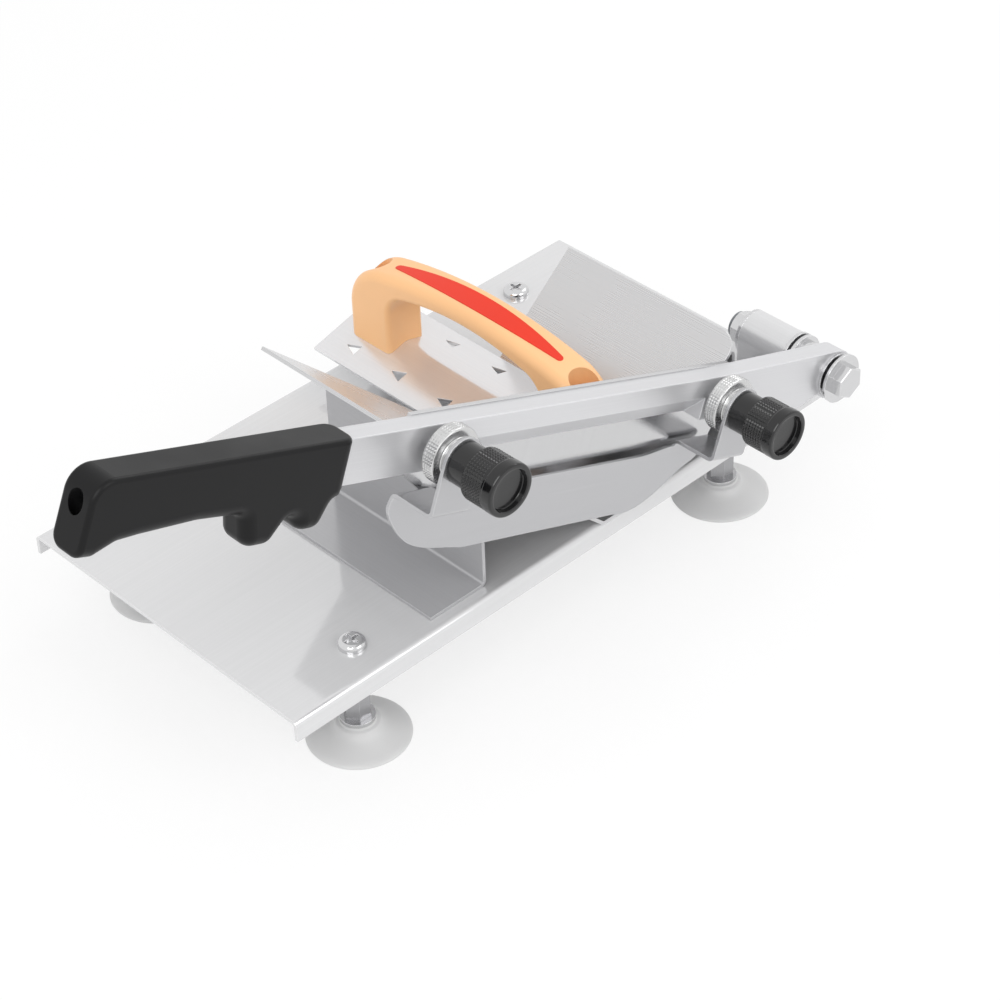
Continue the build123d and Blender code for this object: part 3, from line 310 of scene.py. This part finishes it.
# Pivot bracket: a leaf of thick stainless sheet rolled to an open knuckle, screwed to the base.
# A sleeve and two flanged bushes of plastic fill the knuckle.
dress(steel("rolled_stainless_leaf", "#DEDEDF", 0.3, (0.5, 40, 0.5), marks=0.05, mirror=0.75),
      "pivot_bracket", "pivot_sleeve")
dress(plastic("moulded_acetal", "#DDD9D0", 0.35, 0.8, 0.01), "pivot_bush_front", "pivot_bush_rear")
dress(bright_steel, "bracket_screws", "bracket_nuts")

# Blade arm: a flat bar of stainless steel, brushed along its length, with a relieved front face.
# The bar is forged with a round end for the pivot bolt.
# Its edges carry a wider painted highlight than the other steel parts.
dress(steel("brushed_stainless_bar", "#D8D8DA", 0.4, (70, 0.5, 0.5), arm_tilt, marks=0.1, edge=0.9,
            mirror=0.62), "blade_arm")

# Blade: ground tool steel, held behind the bar by countersunk screws.
# The grinding marks run square to the edge.
dress(steel("ground_blade_steel", "#CFCFD0", 0.18, (0.4, 0.4, 30), arm_tilt), "blade")
dress(bright_steel, "blade_screws")

# Pivot bolt with its washers: plated steel and black spring washers under a hexagonal head.
# The lock nut behind holds a nylon ring.
dress(bright_steel, "bolt_large_washer", "bolt_thin_washer", "arm_collar_washer", "thrust_washers",
      "rear_washer", "lock_nut", "arm_spacer")
bolt_corner, head_height, corner_break = 7.5, 4.8, (0.4, 0.3)
shank_radius, shank_end, shank_points = 4, 0.4, 48
low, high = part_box("pivot_bolt")
bolt_place = ((low[0] + high[0]) / 2, low[1], (low[2] + high[2]) / 2)
bolt_length = (high[1] - low[1]) * 1000
head_profile = ((bolt_corner - corner_break[0], 0), (bolt_corner, corner_break[1]),
                (bolt_corner, head_height))
shank_profile = ((shank_radius, head_height - 0.2), (shank_radius, bolt_length - shank_end),
                 (shank_radius - shank_end, bolt_length))
bolt = turned("hexagonal_pivot_bolt", head_profile, 6, bolt_place, -math.pi / 2, bright_steel)
shank = turned("bolt_shank", shank_profile, shank_points, bolt_place, -math.pi / 2, bright_steel)
bpy.ops.object.select_all(action="DESELECT")
shank.select_set(True)
bolt.select_set(True)
bpy.context.view_layer.objects.active = bolt
bpy.ops.object.join()
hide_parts("pivot_bolt")
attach(bolt, "arm")
dress(steel("black_oxide_spring_steel", "#3A3A3C", 0.3, (1, 1, 1)), "bolt_spring_washer", "disc_spring")
dress(plastic("grey_nylon", "#7C7F83", 0.4, 0.8, 0.01), "lock_nut_ring")

# Grip: black plastic moulded over the tang, satin with bright lines where its edges turn.
# Two screws from behind hold it.
dress(plastic("satin_black_grip", "#141415", 0.36, 0.5, 0.02, gloss=0.2), "grip")
dress(bright_steel, "grip_screws")

# Slice gauge: a bent stainless plate on two threaded studs.
# It is satin and brushed along its length; its sheared edges carry a painted highlight.
dress(steel("satin_stainless_gauge", "#BFBFC1", 0.22, (60, 0.5, 0.5), arm_tilt, marks=0.08, edge=0.5,
            mirror=0.8), "gauge_plate")
dress(bright_steel, "gauge_stud_left", "gauge_stud_right")


# Set nuts and clamping knobs: turned stainless rings, and black phenolic knobs on brass inserts.
# Both are rolled with a square knurl; the knobs keep a plain band in front of theirs.
# The pyramids stand about 1.3 mm apart, a little coarser than a real knurl, so that they show.
knurl_crease = math.radians(12)


def knurled_band(piece, middle, steps, pitch, first, count, inside, grow):
    """Raises every other point of every other row of a turned piece's band to small pyramids."""
    for point in piece.data.vertices:
        row = (middle[1] - point.co.y) * 1000 - first
        turn = math.atan2(point.co.z - middle[2], point.co.x - middle[0]) / math.tau * count
        far = math.hypot(point.co.z - middle[2], point.co.x - middle[0]) * 1000
        step = round(row / pitch)
        point.select = (abs(row - step * pitch) < abs(pitch) / 10 and 0 < step < steps and far > inside
                        and step % 2 == 1 and round(turn) % 2 == 1)
    bpy.ops.object.select_all(action="DESELECT")
    piece.select_set(True)
    bpy.context.view_layer.objects.active = piece
    bpy.context.tool_settings.mesh_select_mode = (True, False, False)
    bpy.ops.object.mode_set(mode="EDIT")
    bpy.ops.transform.resize(value=(grow, 1, grow), center_override=middle)
    bpy.ops.object.mode_set(mode="OBJECT")
    bpy.ops.object.shade_smooth_by_angle(angle=knurl_crease)


phenolic = plastic("glossy_black_phenolic", "#0E0E0F", 0.14, 0.4, 0.01, gloss=0.6, spread=0.03,
                   edge=0.04)
turned_steel = steel("turned_stainless_nut", "#D2D2D2", 0.26, (0.8, 0.8, 0.8), marks=0.04, edge=0.04)
knob_points, knob_pitch, knob_rows, knob_knurl_start = 100, 0.66, 15, 9.3
knob_knurl_inside, knob_knurl_grow = 9.5, 1.038
knob_knurl = tuple((10.3, knob_knurl_start + knob_pitch * step) for step in range(knob_rows + 1))
knob_profile = ((3.3, 20.5), (3.3, 15.1), (5, 15), (5, 0), (8.1, 0), (8.4, 0.12), (8.5, 0.4), (8.5, 8.7),
                (8.6, 8.95), (8.9, 9), (10.1, 9), (10.35, 9.1), *knob_knurl, (10.5, 19.3), (10.66, 19.6),
                (10.72, 19.8), (10.72, 22.9), (10.66, 23.35), (10.45, 23.75), (10.1, 23.95), (9.7, 24),
                (8.95, 24), (8.6, 23.9), (8.38, 23.6), (8.3, 23.2), (8.25, 21.9), (8.05, 21.6),
                (7.6, 21.5), (3, 21.4), (0.6, 21.4))
nut_points, nut_pitch, nut_rows, nut_knurl_start = 120, 0.6, 8, 3.1
nut_knurl_inside, nut_knurl_grow = 11, 1.024
nut_knurl = tuple((11.62, nut_knurl_start + nut_pitch * step) for step in range(nut_rows + 1))
nut_profile = ((3.05, 0), (7.6, 0), (7.9, 0.12), (8, 0.4), (8, 2.1), (8.15, 2.4), (8.5, 2.5), (10.9, 2.5),
               (11.35, 2.62), (11.55, 2.85), *nut_knurl, (11.55, 8.15), (11.35, 8.38), (10.9, 8.5),
               (3.05, 8.5), (3.05, 0))
for side in ("left", "right"):
    low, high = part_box("knob_" + side)
    middle = ((low[0] + high[0]) / 2, high[1], (low[2] + high[2]) / 2)
    knob = turned("clamping_knob_" + side, knob_profile, knob_points, middle, math.pi / 2, phenolic)
    knurled_band(knob, middle, knob_rows, knob_pitch, knob_knurl_start, knob_points,
                 knob_knurl_inside, knob_knurl_grow)
    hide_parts("knob_" + side)
    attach(knob, "knob_" + side)
    low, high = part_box("set_nut_" + side)
    middle = ((low[0] + high[0]) / 2, low[1], (low[2] + high[2]) / 2)
    nut = turned("knurled_set_nut_" + side, nut_profile, nut_points, middle, -math.pi / 2, turned_steel,
                 closed=True)
    knurled_band(nut, middle, nut_rows, -nut_pitch, -nut_knurl_start, nut_points,
                 nut_knurl_inside, nut_knurl_grow)
    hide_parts("set_nut_" + side)
    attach(nut, "set_nut_" + side)
dress(steel("turned_brass", "#D9B56B", 0.25, (0.8, 0.8, 0.8)), "knob_insert_left", "knob_insert_right")

# Pusher: a stainless roof with punched teeth, polished along its length.
# It mirrors the D-handle of apricot ABS, into whose top a red inlay is pressed.
dress(steel("polished_stainless_pusher", "#E6E6E8", 0.2, (0.6, 80, 0.6), marks=0.03, mirror=0.6),
      "pusher_plate")
dress(plastic("apricot_abs", "#FDC68E", 0.36, 1.0, 0.008), "pusher_handle")
dress(plastic("red_abs", "#E8341A", 0.42, 1.0, 0.008, gloss=0.3), "handle_inlay")
dress(bright_steel, "pusher_screws", "pusher_washers", "pusher_nuts")
